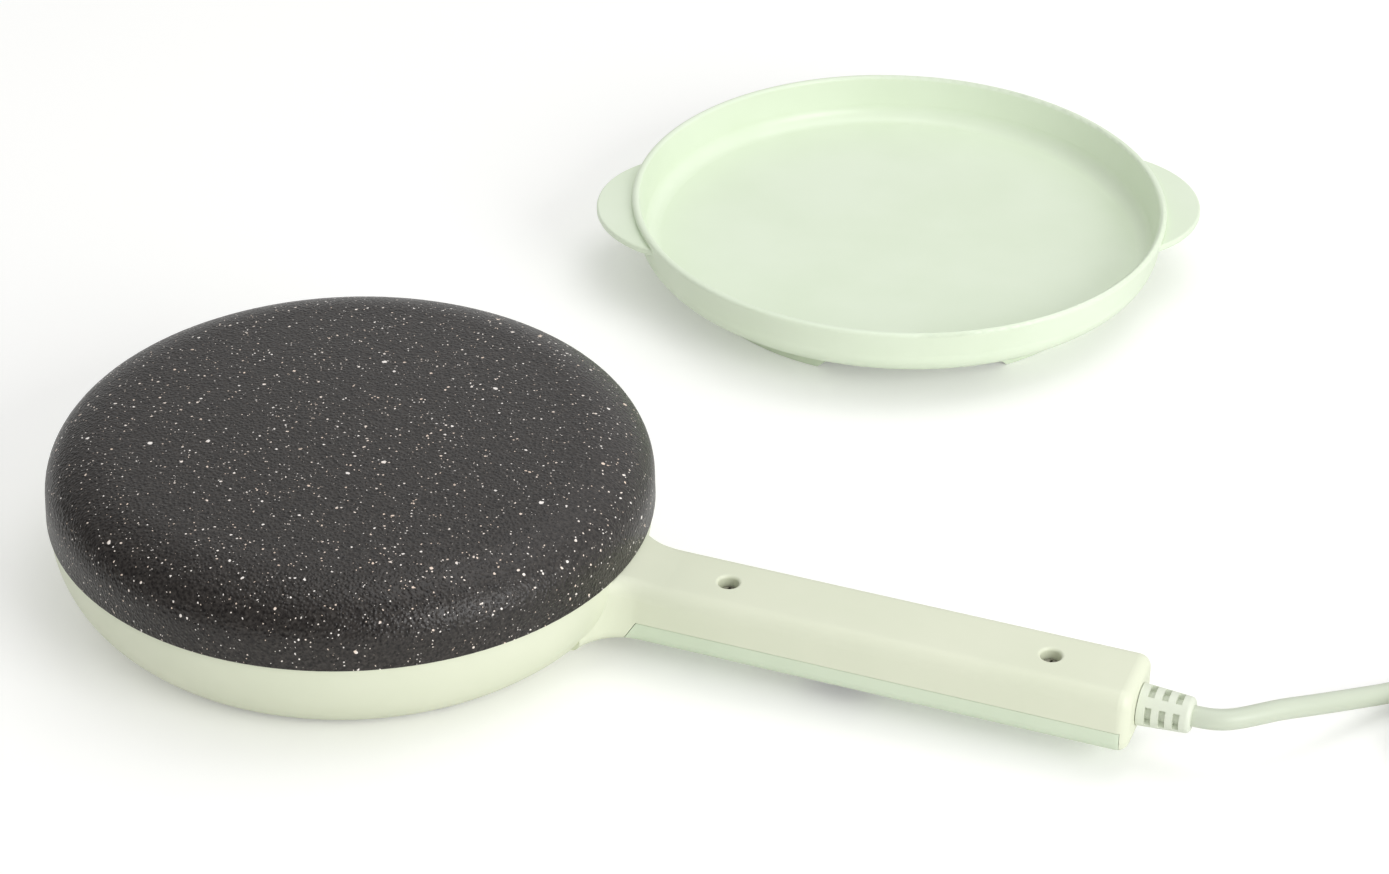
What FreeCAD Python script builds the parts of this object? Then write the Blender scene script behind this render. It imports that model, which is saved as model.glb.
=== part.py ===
"""Dip-type electric crepe maker with its batter dish, in millimetres.

The origin is on the table under the middle of the round pan, +Z is up and the handle points
along +X.  Every function below makes one sub-part and saves it under its own name.
"""
import FreeCAD, Part
import math
import os

from FreeCAD import Vector

# driving dimensions of the heating plate
plate_radius = 100.0
plate_side = 7.5            # upright part of the rim above the seam
plate_lean = 0.25           # how much the upright part leans inwards
plate_edge = 14.7           # rounding above the upright part
plate_shoulder = 34.0       # softer rounding from there into the dome
plate_shoulder_start = 60.0 # slope at which the softer rounding takes over, degrees
plate_crown = 2.4           # rise of the dome above the rounding
plate_wall = 3.0
plate_lip_depth = 3.7       # spigot that drops inside the body
plate_lip_wall = 3.0
plate_lip_clearance = 0.5

# driving dimensions of the body
foot_height = 1.2
body_height = 32.5          # seam between body and plate
plate_overhang = 0.8        # how far the plate stands out over the body
body_upright = 2.0          # straight part of the wall under the seam
base_inset = 16.7           # how much smaller the radius of the underside is
body_wall = 2.5
seam_gap = 0.2
gasket_depth = 1.2
gasket_width = 1.1
gasket_clearance = 0.1
base_foot_diameter = 12.0
base_foot_inset = 11.5      # from the edge of the underside to the middle of a foot
base_foot_seat = 0.8        # depth of the foot's pocket
base_foot_clearance = 0.2
base_foot_round = 0.4

# driving dimensions of the handle
handle_length = 169.8       # from the side of the body to the end
handle_half_width = 14.6
handle_drop = 1.8           # from the seam down to the flat top
handle_depth = 21.85
handle_seam_depth = 13.45   # from the flat top to the parting line of the lower cover
handle_wall = 2.4
handle_top_round = 5.2
handle_bottom_round = 4.4
handle_end_round = 4.0
handle_end_wall = 2.5
root_round = 16.0           # plan radius where the handle runs into the body
root_bury = 4.2             # how deep the root reaches into the body's wall
root_anchor = 20.0          # length of the root inside the bowl, cut away later
root_reach = 14.8           # length of the dip from the seam to the handle top
cover_inset = 6.8           # start of the lower cover at the parting line, from the body
cover_slant = 5.0           # how much nearer it starts at the bottom
cover_thickness = 2.0
cover_end_wall = 2.2
parting_gap = 0.15

# screws of the handle
screw_from_body = 33.1
screw_from_end = 29.5
recess_diameter = 6.7
recess_rim = 1.0
recess_depth = 5.6
handle_screw_diameter = 2.9
handle_screw_head = 6.0
handle_screw_head_height = 2.3
handle_boss_diameter = 9.0
cover_boss_diameter = 7.5
screw_clearance = 0.2
screw_skin = 0.8            # left under the blind end of a cover boss
boss_gap = 0.2              # between the upper and the lower boss

# cord and strain relief
cord_diameter = 6.8
cord_drop = 10.9            # from the handle's flat top to the middle of the cord
relief_root_diameter = 13.6
relief_tip_diameter = 11.5
relief_tip_round = 1.6
relief_reach = 17.0         # visible length outside the handle
relief_collar_length = 3.0
relief_collar_diameter = 13.0
relief_neck_wall = 1.4
relief_clearance = 0.2
bore_clearance = 0.05
relief_gap = 0.25           # between its shoulders and the handle's end wall
relief_slot_width = 2.1
relief_slot_pitch = 4.4
relief_slot_first = 3.9
relief_slot_depth = 2.0
relief_slot_angle = 60.0
relief_slot_columns = 3
relief_slot_rows = 4
jacket_length = 21.8        # how far the cord's jacket reaches into the handle
clamp_from_end = 18.5
clamp_spread = 8.6          # sideways place of the clamp's screws
clamp_post_diameter = 5.0
clamp_width = 22.4
clamp_length = 6.0
clamp_thickness = 2.4
clamp_round = 1.2
clamp_screw_reach = 5.5
clamp_head_height = 1.7
clamp_gap = 0.05            # between the bar, the cord and the posts
saddle_width = 8.0
saddle_length = 3.0
wire_diameter = 2.2
wire_lane = 8.3             # sideways place of the wires beside bosses and switch
stud_turn = 10.4            # last corner of the leads before the element's terminals
stud_side = 7.6
wire_gap = 0.1              # between the end of a wire and what it is joined to

# heating parts under the plate; the depths count from its underside in the middle
element_radius = 62.0
element_diameter = 6.6
element_gap_angle = 41.5
element_bend = 7.0          # radius at which the ends turn down
element_clearance = 0.1
land_width = 16.0
land_depth = 5.9
pin_length = 12.0           # from the middle of the ring down to the end of the sheath
bead_length = 1.5
terminal_length = 5.0
terminal_diameter = 2.6
bead_inset = 0.6
pad_radius = 12.0
pad_depth = 4.4
thermostat_diameter = 15.0
thermostat_height = 9.0
thermostat_cap_height = 2.2
thermostat_case_inset = 0.8 # how much slimmer the case is than its cap
thermostat_tab_reach = 13.0
thermostat_tab_rise = 1.0   # from the case's lower face
thermostat_tab_width = 4.8
boss_depth = 4.9
boss_diameter = 7.5
fixing_diameter = 2.8       # small screws into the plate's bosses
fixing_head = 5.0
fixing_head_height = 1.8
fixing_reach = 2.8
fixing_runout = 0.4
strip_thickness = 0.8
strip_width = 8.0
strip_spread = 18.0         # sideways place of the strip's screws
strip_foot = 8.0            # length of each foot round its screw
strip_middle = 19.0         # width round the thermostat
earth_place = (38.0, 13.0)
earth_ring = 7.0
earth_tab_reach = 10.0
earth_tab_width = 4.0
earth_tag_thickness = 0.8
fuse_place = (26.0, -30.0)
fuse_diameter = 4.0
fuse_length = 11.0
fuse_lead_length = 17.0
fuse_lead_diameter = 1.0
fuse_top_gap = 0.3          # between the fuse and the plate
fuse_clearance = 0.05
clip_side_clearance = 0.6
clip_thickness = 0.6
clip_width = 5.0
clip_arm = 9.0              # from the fuse to the screw of its clip

# plate fixings
pillar_count = 4
pillar_inset = 21.2         # from the body's side to the middle of a pillar
pillar_diameter = 9.0
pillar_screw_diameter = 3.8
pillar_head_diameter = 7.0
pillar_head_height = 2.6
pillar_seat = 12.0          # height of the seat of the screw head
pillar_thread = 14.0
pillar_sleeve = 1.25        # wall of the body's post round the pillar's size
pillar_bore_clearance = 0.3
thread_runout = 2.0         # how much deeper each hole is than its screw
shield_drop = 7.7           # from the seam down to the heat shield
shield_thickness = 0.6
shield_inset = 9.2          # from the body's side to the shield's rim
shield_flange = 3.0
wire_hole_radius = 8.0
wire_hole_inset = 20.2      # from the body's side to the middle of the wires' hole

# switch and lamp in the lower cover
switch_from_body = 71.8
switch_length = 18.6
switch_width = 12.6
switch_depth = 12.15        # height of its case above the cover's face
switch_clearance = 0.15
tab_spread = 5.0
tab_width = 4.8
tab_thickness = 0.8
tab_height = 5.5
bezel_length = 21.0
bezel_width = 15.0
bezel_thickness = 1.5
bezel_round = 1.5
rocker_length = 14.4
rocker_width = 8.8
rocker_clearance = 0.35
rocker_edge = 0.9           # thickness below the pivot at its two ends
rocker_middle = 2.3         # and in the middle
rocker_top = 1.6
well_depth = 3.6            # from the pivot up
rocker_tilt = 9.0           # half of the switching travel, degrees
rocker_pivot_rise = 0.35    # height of the pivot above the cover's face
rocker_pin_diameter = 2.0
rocker_pin_reach = 11.2
rocker_pin_clearance = 0.15
lamp_from_body = 48.8
lens_diameter = 5.0
lens_stand = 0.8
lens_round = 0.7
lens_flange = 1.0
lens_flange_thickness = 0.8
lens_clearance = 0.1
bulb_diameter = 4.0
bulb_length = 8.0
bulb_round = 1.2

# route of the free cord, chosen by hand from the photograph: distance from the end of the
# strain relief, sideways place, and height
cord_route = [
    (0.0, 0.0, 19.8),
    (4.0, 0.0, 19.8),
    (8.6, 1.1, 19.8),
    (13.0, 3.6, 19.7),
    (18.0, 8.2, 19.4),
    (24.0, 15.0, 18.4),
    (30.7, 22.8, 16.2),
    (37.4, 32.3, 13.0),
    (44.4, 42.8, 9.4),
    (51.9, 53.1, 6.2),
    (60.2, 64.0, 4.2),
    (68.9, 73.0, 3.4),
    (79.4, 79.3, 3.4),
    (90.9, 82.6, 3.4),
]
coil_outer = 44.8           # radius of the outermost turn
coil_pitch = 7.35           # sideways distance of neighbouring turns
coil_layer = 7.3            # height from one layer to the next
coil_turns = 4.25
coil_tail = 30.0            # straight end that clears the turns before the plug

# plug
plug_length = 38.0
plug_width = 26.0
plug_height = 21.0
plug_round = 4.0
plug_nose = 14.0
nose_root_radius = 7.5
nose_wall = 1.4
pin_thickness = 1.5
pin_width = 6.4
pin_reach = 18.0
pin_seat = 4.0
plug_overlap = 3.0          # how deep the nose runs into the grip
pin_spread = 6.6
pin_rise = 3.0
pin_slant = 30.0            # the two upper pins lean against each other, degrees
earth_pin_extra = 3.0
earth_pin_drop = 6.0

# batter dish
dish_x = 104.5
dish_y = 260.0
dish_ear_axis = 23.0        # plan direction of the two ears, degrees
dish_rim_radius = 100.6
dish_wall = 2.8
dish_height = 31.3
dish_draft = 2.1            # the wall is that much smaller at the bottom
dish_corner = 9.0
dish_floor = 12.0           # underside of the floor
dish_floor_thickness = 2.2
dish_lip_clearance = 0.1    # left flat between the two roundings of the rim
ear_radius = 39.7
ear_centre = 73.9
ear_drop = 2.7              # from the rim down to the top of the ears
ear_thickness = 2.6
ear_round = 0.8
ear_root_round = 9.0
dish_foot_inset = 22.6      # from the rim's radius to the foot's
dish_foot_wall = 2.6
dish_foot_gap = 44.0        # opening of each gap in the foot ring, degrees
foot_gap_slope = 0.45       # share of the foot's height at which the gap's ends turn slanted

UP = Vector(0, 0, 1)
ALONG = Vector(1, 0, 0)
ACROSS = Vector(0, 1, 0)
ORIGIN = Vector(0, 0, 0)

os.makedirs("parts", exist_ok=True)


def save(name, shape):
    """Write one sub-part, and print what it holds."""
    solids = shape.Solids
    shape = solids[0] if len(solids) == 1 else Part.makeCompound(solids)
    if not shape.isValid():
        print("NOT VALID", name)
    shape.exportStep("parts/" + name + ".step")
    print(f"{name}: {len(solids)} solid(s), {shape.Volume / 1000:.3f} cm3")


def box(x0, x1, y0, y1, z0, z1):
    return Part.makeBox(x1 - x0, y1 - y0, z1 - z0, Vector(x0, y0, z0))


def post(x, y, z0, z1, diameter):
    return Part.makeCylinder(diameter / 2, z1 - z0, Vector(x, y, z0))


def turned(edges):
    """Solid of revolution about Z of a closed outline in the XZ plane."""
    return Part.Face(Part.Wire(edges)).revolve(ORIGIN, UP, 360)


def line(a, b):
    return Part.LineSegment(a, b).toShape()


def arc(a, middle, b):
    return Part.Arc(a, middle, b).toShape()


def on_arc(centre, radius, degrees):
    """Point of a circle in the XZ plane, 0 degrees along +X."""
    turn = math.radians(degrees)
    return centre + Vector(radius * math.cos(turn), 0, radius * math.sin(turn))


def arc_between(centre, radius, first, last):
    """Arc of a circle in the XZ plane from one angle to another, in degrees."""
    return arc(on_arc(centre, radius, first), on_arc(centre, radius, (first + last) / 2),
               on_arc(centre, radius, last))


def fuse(first, *others):
    return first.fuse(list(others)).removeSplitter()


def cut(first, *others):
    return first.cut(list(others))


def route_edges(points):
    """Straight runs joined by tangent arcs, and the radii of the arcs."""
    edges = []
    radii = []
    last = points[0]
    for before, corner, after in zip(points, points[1:], points[2:]):
        into = (corner - before).normalize()
        out = (after - corner).normalize()
        turn = into.getAngle(out)
        shorter = min((corner - before).Length, (after - corner).Length)
        trim = 0.45 * shorter
        start = corner - into * trim
        end = corner + out * trim
        radius = trim / math.tan(turn / 2)
        inward = (out - into).normalize()
        middle = corner + inward * (radius / math.cos(turn / 2) - radius)
        edges.append(line(last, start))
        edges.append(arc(start, middle, end))
        radii.append(radius)
        last = end
    edges.append(line(last, points[-1]))
    return edges, radii


def swept(edges, start, heading, diameter):
    """Round tube along tangent edges, as one solid."""
    section = Part.Wire(Part.makeCircle(diameter / 2, start, heading))
    shell = Part.BRepOffsetAPI.MakePipeShell(Part.Wire(edges))
    shell.add(section)
    shell.build()
    shell.makeSolid()
    return shell.shape()


def tube(points, diameter, name=None):
    edges, radii = route_edges(points)
    solid = swept(edges, points[0], points[1] - points[0], diameter)
    if name:
        length = sum(edge.Length for edge in edges)
        expected = math.pi * diameter**2 / 4 * length
        print(name, "length", round(length, 1), "radii", [round(r, 1) for r in radii],
              "volume ratio", round(solid.Volume / expected, 4))
    return solid


def cross_recess(x, y, z, size, depth):
    """Cross-shaped driver recess, cut down from z."""
    slot = size / 4
    one = box(x - size / 2, x + size / 2, y - slot / 2, y + slot / 2, z - depth, z + 1)
    other = box(x - slot / 2, x + slot / 2, y - size / 2, y + size / 2, z - depth, z + 1)
    return one.fuse(other)


def screw(x, y, seat, tip, diameter, head_diameter, head_height):
    """Pan-head screw along Z; the head is above the seat if the tip is below it."""
    up = 1 if tip < seat else -1
    shank = post(x, y, min(seat, tip), max(seat, tip), diameter)
    top = seat + up * head_height
    head = post(x, y, min(seat, top), max(seat, top), head_diameter)
    rim = [edge for edge in head.Edges
           if isinstance(edge.Curve, Part.Circle) and abs(edge.CenterOfMass.z - top) < 0.01]
    head = head.makeFillet(head_height * 0.35, rim)
    drive = cross_recess(0, 0, 0, head_diameter * 0.6, head_height * 0.6)
    if up < 0:
        drive.rotate(ORIGIN, ALONG, 180)
    drive.translate(Vector(x, y, top))
    return head.fuse(shank).cut(drive).removeSplitter()


# places worked out from the driving dimensions
body_radius = plate_radius - plate_overhang
body_inner_radius = body_radius - body_wall
body_base_radius = body_radius - base_inset
plate_bottom = body_height + seam_gap
edge_centre = Vector(plate_radius - plate_lean - plate_edge, 0, plate_bottom + plate_side)
shoulder_turn = math.radians(plate_shoulder_start)
shoulder_shift = plate_edge - plate_shoulder
shoulder_centre = edge_centre + Vector(shoulder_shift * math.cos(shoulder_turn), 0,
                                       shoulder_shift * math.sin(shoulder_turn))
plate_top = shoulder_centre.z + plate_shoulder + plate_crown
dome_rise = plate_shoulder + plate_crown
dome_radius = (shoulder_centre.x**2 + dome_rise**2 - plate_shoulder**2) / (2 * plate_crown)
dome_centre = Vector(0, 0, plate_top - dome_radius)
dome_low = plate_top - plate_wall
lip_outer = body_inner_radius - plate_lip_clearance
lip_inner = lip_outer - plate_lip_wall

land_inner = element_radius - land_width / 2
land_outer = element_radius + land_width / 2
land_bottom = dome_low - land_depth
pad_bottom = dome_low - pad_depth
boss_bottom = dome_low - boss_depth
thermostat_low = pad_bottom - thermostat_height
stud_top = land_bottom - pin_length - bead_length
bracket_screws = ((0.0, strip_spread), (0.0, -strip_spread))
clip_screw = (fuse_place[0], fuse_place[1] + clip_arm)
boss_places = (earth_place, clip_screw) + bracket_screws
earth_wire_height = boss_bottom - earth_tag_thickness - wire_diameter / 2

pillar_circle = body_radius - pillar_inset
shield_height = body_height - shield_drop
shield_top = shield_height + shield_thickness
shield_radius = body_radius - shield_inset
wire_hole_place = body_radius - wire_hole_inset
base_foot_circle = body_base_radius - base_foot_inset
base_foot_top = foot_height + base_foot_seat

handle_end = body_radius + handle_length
handle_top = body_height - handle_drop
handle_bottom = handle_top - handle_depth
handle_seam = handle_top - handle_seam_depth
handle_inner = handle_half_width - handle_wall
handle_ceiling = handle_top - handle_wall
cavity_end = handle_end - handle_end_wall
cover_start = body_radius + cover_inset
cover_floor = handle_bottom + cover_thickness
cover_skin = handle_bottom + screw_skin
handle_screw_places = (body_radius + screw_from_body, handle_end - screw_from_end)
recess_floor = handle_top - recess_depth
cord_height = handle_top - cord_drop
relief_end = handle_end + relief_reach
neck_diameter = cord_diameter + 2 * relief_neck_wall
jacket_end = handle_end - jacket_length
clamp_place = handle_end - clamp_from_end
clamp_top = cord_height - cord_diameter / 2 - clamp_gap
saddle_low = cord_height + cord_diameter / 2
switch_place = body_radius + switch_from_body
switch_top = handle_bottom + switch_depth
rocker_pivot_height = handle_bottom + rocker_pivot_rise
lamp_place = body_radius + lamp_from_body
dish_foot_radius = dish_rim_radius - dish_foot_inset
ear_top = dish_height - ear_drop


def plate_top_edges(inset, start):
    """Rounding, shoulder and dome of the plate, from an angle on the rounding to the axis."""
    lean = math.degrees(math.atan2(shoulder_centre.z - dome_centre.z, shoulder_centre.x))
    return [
        arc_between(edge_centre, plate_edge - inset, start, plate_shoulder_start),
        arc_between(shoulder_centre, plate_shoulder - inset, plate_shoulder_start, lean),
        arc_between(dome_centre, dome_radius - inset, lean, 90),
    ]


def under_dome(radius):
    """Height of the underside of the dome at a radius."""
    inside = dome_radius - plate_wall
    return dome_centre.z + math.sqrt(inside**2 - radius**2)


def pillar_places():
    for index in range(pillar_count):
        turn = math.radians(45 + 360 / pillar_count * index)
        yield pillar_circle * math.cos(turn), pillar_circle * math.sin(turn)


fuse_height = under_dome(math.hypot(*fuse_place)) - fuse_diameter / 2 - fuse_top_gap


def make_heating_plate():
    side_top = Vector(plate_radius - plate_lean, 0, edge_centre.z)
    outside = [
        line(Vector(lip_outer, 0, plate_bottom), Vector(plate_radius, 0, plate_bottom)),
        line(Vector(plate_radius, 0, plate_bottom), side_top),
    ] + plate_top_edges(0, 0)
    apex = Vector(0, 0, plate_top)
    inner_apex = Vector(0, 0, dome_low)
    meet = math.degrees(math.acos((lip_inner - edge_centre.x) / (plate_edge - plate_wall)))
    meet_point = on_arc(edge_centre, plate_edge - plate_wall, meet)
    lip_low = plate_bottom - plate_lip_depth
    inside = plate_top_edges(plate_wall, meet) + [
        line(apex, inner_apex),
        line(meet_point, Vector(lip_inner, 0, lip_low)),
        line(Vector(lip_inner, 0, lip_low), Vector(lip_outer, 0, lip_low)),
        line(Vector(lip_outer, 0, lip_low), Vector(lip_outer, 0, plate_bottom)),
    ]
    plate = turned(Part.__sortEdges__(outside + inside))
    land = cut(post(0, 0, land_bottom, plate_top, 2 * land_outer),
               post(0, 0, land_bottom - 1, plate_top + 1, 2 * land_inner))
    bosses = [land, post(0, 0, pad_bottom, plate_top, 2 * pad_radius)]
    bosses += [post(x, y, shield_top, plate_top, pillar_diameter) for x, y in pillar_places()]
    bosses += [post(x, y, boss_bottom, plate_top, boss_diameter) for x, y in boss_places]
    under_skin = Part.makeSphere(dome_radius - plate_wall / 2, dome_centre)
    bosses = [boss.common(under_skin) for boss in bosses]
    plate = fuse(plate, *bosses)
    groove = Part.makeTorus(element_radius, element_diameter / 2 + element_clearance,
                            Vector(0, 0, land_bottom))
    holes = [post(x, y, shield_height, shield_top + pillar_thread + thread_runout,
                  pillar_screw_diameter + screw_clearance) for x, y in pillar_places()]
    holes += [post(x, y, boss_bottom - 1, boss_bottom + fixing_reach + fixing_runout,
                   fixing_diameter + screw_clearance) for x, y in boss_places]
    save("heating_plate", cut(plate, groove, *holes))


def bowl_outline(inset):
    """Edges of the bowl, set in by a wall thickness, as a filled outline."""
    upright_low = body_height - body_upright
    drop = upright_low - foot_height
    radius = (base_inset**2 + drop**2) / (2 * base_inset)
    centre = Vector(body_radius - radius, 0, upright_low)
    radius -= inset
    base = foot_height + inset
    low_angle = -math.degrees(math.asin((upright_low - base) / radius))
    top = Vector(body_radius - inset, 0, body_height + (1 if inset else 0))
    axis_top = Vector(0, 0, top.z)
    axis_low = Vector(0, 0, base)
    return [
        line(top, on_arc(centre, radius, 0)),
        arc_between(centre, radius, 0, low_angle),
        line(on_arc(centre, radius, low_angle), axis_low),
        line(axis_low, axis_top),
        line(axis_top, top),
    ]


def handle_plan():
    """Face of the handle's plan with its flared root, at its underside."""
    fit_radius = body_radius - root_bury
    centre = Vector(0, handle_half_width + root_round, 0)
    centre.x = math.sqrt((fit_radius + root_round)**2 - centre.y**2)
    touch = centre * (fit_radius / (fit_radius + root_round))
    toward_body = (touch - centre).normalize()
    bend = centre + (toward_body - ACROSS).normalize() * root_round
    side = centre - ACROSS * root_round
    corner = Vector(handle_end, handle_half_width, 0)
    inner = touch * ((fit_radius - root_anchor) / fit_radius)

    def mirrored(point):
        return Vector(point.x, -point.y, 0)

    face = Part.Face(Part.Wire([
        line(inner, touch), arc(touch, bend, side), line(side, corner),
        line(corner, mirrored(corner)), line(mirrored(corner), mirrored(side)),
        arc(mirrored(side), mirrored(bend), mirrored(touch)),
        line(mirrored(touch), mirrored(inner)), line(mirrored(inner), inner),
    ]))
    face.translate(UP * handle_bottom)
    return face


def side_edges(block, low, high):
    """Edges between two heights that run along the handle's sides and its flared root."""
    found = []
    for edge in block.Edges:
        bounds = edge.BoundBox
        inside = bounds.ZMin > low - 0.01 and bounds.ZMax < high + 0.01
        beside = min(abs(bounds.YMin), abs(bounds.YMax)) > handle_half_width / 2
        if inside and beside and bounds.XLength > 1 and bounds.XMax > body_radius - root_bury:
            if bounds.XMin > body_radius - root_anchor or bounds.XMax > body_radius:
                found.append(edge)
    return found


def handle_block():
    """Outer form of the handle; the top of its root rises to the seam round the body."""
    inner = body_radius - root_reach / 2
    outer = 2 * handle_end
    drop = body_height - handle_top
    radius = (root_reach**2 + drop**2) / (2 * drop)
    centre = Vector(body_radius + root_reach, 0, handle_top + radius)
    rise = -90 - math.degrees(math.asin((centre.x - inner) / radius))
    start = on_arc(centre, radius, rise)
    above = start.z + drop
    removed = turned([
        arc_between(centre, radius, rise, -90),
        line(on_arc(centre, radius, -90), Vector(outer, 0, handle_top)),
        line(Vector(outer, 0, handle_top), Vector(outer, 0, above)),
        line(Vector(outer, 0, above), Vector(inner, 0, above)),
        line(Vector(inner, 0, above), start),
    ])
    block = cut(handle_plan().extrude(UP * (start.z - handle_bottom)), removed)
    top_edges = [edge for edge in side_edges(block, handle_top, start.z)
                 if edge.BoundBox.XMax > inner + 1]
    block = block.makeFillet(handle_top_round, top_edges)
    block = block.makeFillet(handle_bottom_round, side_edges(block, handle_bottom, handle_bottom))
    end_edges = [edge for edge in block.Edges if edge.BoundBox.XMin > handle_end - 0.01]
    return block.makeFillet(handle_end_round, end_edges)


def cover_zone(gap):
    """Space of the lower cover, shrunk by a gap on its parting faces."""
    top = handle_seam - gap
    bottom = handle_bottom - bezel_thickness
    slope = cover_slant / (handle_seam - handle_bottom)
    start_top = cover_start + gap
    start_low = start_top - slope * (top - bottom)
    end = cavity_end - gap
    side = -2 * handle_half_width
    outline = [Vector(start_top, side, top), Vector(end, side, top), Vector(end, side, bottom),
               Vector(start_low, side, bottom)]
    face = Part.Face(Part.makePolygon(outline + [outline[0]]))
    return face.extrude(ACROSS * (-2 * side))


def relief_hole(start, length, diameter):
    return Part.makeCylinder(diameter / 2 + relief_clearance, length, Vector(start, 0, cord_height),
                             ALONG)


def make_body_shell(block):
    shell = fuse(turned(bowl_outline(0)), block)
    inside = turned(bowl_outline(body_wall))
    cavity = box(body_radius - 3 * body_wall, cavity_end, -handle_inner, handle_inner,
                 handle_bottom + handle_wall, handle_ceiling)
    open_below = box(cover_start, cavity_end, -handle_inner, handle_inner,
                     handle_bottom - 1, handle_ceiling)
    above = post(0, 0, body_height, 2 * body_height, 2 * plate_radius)
    rebate_radius = body_inner_radius + gasket_width + 2 * gasket_clearance
    rebate = post(0, 0, body_height - gasket_depth, body_height + 1, 2 * rebate_radius)
    shell = cut(shell, inside, cavity, open_below, cover_zone(0), above, rebate)
    additions = []
    # bosses of the plate screws stand on the floor
    for x, y in pillar_places():
        additions.append(post(x, y, foot_height + body_wall / 2, shield_height,
                              pillar_diameter + 2 * pillar_sleeve))
    # bosses of the handle screws and of the cord clamp hang from the ceiling
    in_ceiling = handle_top - handle_wall / 2
    for x in handle_screw_places:
        additions.append(post(x, 0, handle_seam + boss_gap, in_ceiling, handle_boss_diameter))
    for side in (-1, 1):
        additions.append(post(clamp_place, side * clamp_spread, clamp_top + clamp_gap,
                              in_ceiling, clamp_post_diameter))
    additions.append(box(clamp_place - saddle_length / 2, clamp_place + saddle_length / 2,
                         -saddle_width / 2, saddle_width / 2, saddle_low, in_ceiling))
    shell = fuse(shell, *additions)
    holes = []
    for x, y in pillar_places():
        holes.append(post(x, y, 0, pillar_seat, pillar_head_diameter + 2 * pillar_bore_clearance))
        holes.append(post(x, y, 0, shield_height + 1, pillar_screw_diameter + screw_clearance))
    for x in handle_screw_places:
        holes.append(post(x, 0, recess_floor, handle_top + 1, recess_diameter))
        holes.append(post(x, 0, handle_seam, handle_top, handle_screw_diameter + screw_clearance))
    for side in (-1, 1):
        holes.append(post(clamp_place, side * clamp_spread, clamp_top,
                          clamp_top + clamp_screw_reach + thread_runout,
                          fixing_diameter + screw_clearance))
    holes.append(relief_hole(cavity_end - 1, handle_end_wall + 2, neck_diameter))
    for x, y in foot_places():
        holes.append(post(x, y, 0, base_foot_top, base_foot_diameter + 2 * base_foot_clearance))
    shell = cut(shell, *holes)
    rims = [edge for edge in shell.Edges
            if isinstance(edge.Curve, Part.Circle)
            and abs(edge.Curve.Radius - recess_diameter / 2) < 0.01
            and edge.BoundBox.ZMin > handle_top - 0.01]
    save("body_shell", shell.makeFillet(recess_rim, rims))


def foot_places():
    """The rubber feet sit between the plate screws."""
    for index in range(pillar_count):
        turn = math.radians(360 / pillar_count * index)
        yield base_foot_circle * math.cos(turn), base_foot_circle * math.sin(turn)


def make_base_feet():
    feet = []
    for x, y in foot_places():
        pad = post(x, y, 0, base_foot_top, base_foot_diameter)
        rim = [edge for edge in pad.Edges if edge.BoundBox.ZMax < 0.01]
        feet.append(pad.makeFillet(base_foot_round, rim))
    save("base_feet", Part.makeCompound(feet))


def make_rim_gasket():
    inner = body_inner_radius + gasket_clearance
    low = body_height - gasket_depth
    ring = cut(post(0, 0, low, plate_bottom, 2 * (inner + gasket_width)),
               post(0, 0, low - 1, plate_bottom + 1, 2 * inner))
    save("rim_gasket", ring)


def make_handle_cover(block):
    zone = block.common(cover_zone(parting_gap))
    hollow = box(cover_start + cover_end_wall, cavity_end - cover_end_wall, -handle_inner,
                 handle_inner, cover_floor, handle_top)
    cover = cut(zone, hollow)
    bosses = [post(x, 0, cover_skin, handle_seam, cover_boss_diameter) for x in handle_screw_places]
    cover = fuse(cover, *bosses)
    holes = [post(x, 0, cover_skin, handle_seam + 1, handle_screw_diameter + screw_clearance)
             for x in handle_screw_places]
    half_length = switch_length / 2 + switch_clearance
    half_width = switch_width / 2 + switch_clearance
    holes.append(box(switch_place - half_length, switch_place + half_length,
                     -half_width, half_width, 0, cover_floor + 1))
    holes.append(post(lamp_place, 0, 0, cover_floor + 1, lens_diameter + 2 * lens_clearance))
    # the end wall leaves room for the collar of the strain relief
    reach = relief_collar_length + cover_end_wall
    holes.append(relief_hole(cavity_end - reach, reach + 1, relief_collar_diameter))
    save("handle_cover", cut(cover, *holes))


def make_handle_screws():
    tip = cover_skin + parting_gap
    screws = [screw(x, 0, recess_floor, tip, handle_screw_diameter, handle_screw_head,
                    handle_screw_head_height) for x in handle_screw_places]
    save("handle_screws", Part.makeCompound(screws))


def make_plate_screws():
    screws = [screw(x, y, pillar_seat, shield_top + pillar_thread, pillar_screw_diameter,
                    pillar_head_diameter, pillar_head_height) for x, y in pillar_places()]
    save("plate_screws", Part.makeCompound(screws))


def make_heat_shield():
    disc = post(0, 0, shield_height, shield_top, 2 * shield_radius)
    flange = cut(post(0, 0, shield_height, shield_top + shield_flange, 2 * shield_radius),
                 post(0, 0, shield_height - 1, shield_top + shield_flange + 1,
                      2 * (shield_radius - shield_thickness)))
    shield = fuse(disc, flange)
    holes = [post(x, y, shield_height - 1, shield_top + 1, pillar_screw_diameter + screw_clearance)
             for x, y in pillar_places()]
    holes.append(post(wire_hole_place, 0, shield_height - 1, shield_top + 1, 2 * wire_hole_radius))
    save("heat_shield", cut(shield, *holes))


def element_ends():
    """Where the two ends of the element come straight down."""
    turn = math.radians(element_gap_angle / 2)
    x = element_radius * math.cos(turn) + element_bend * math.sin(turn)
    y = element_radius * math.sin(turn) - element_bend * math.cos(turn)
    return (x, -y), (x, y)


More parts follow.
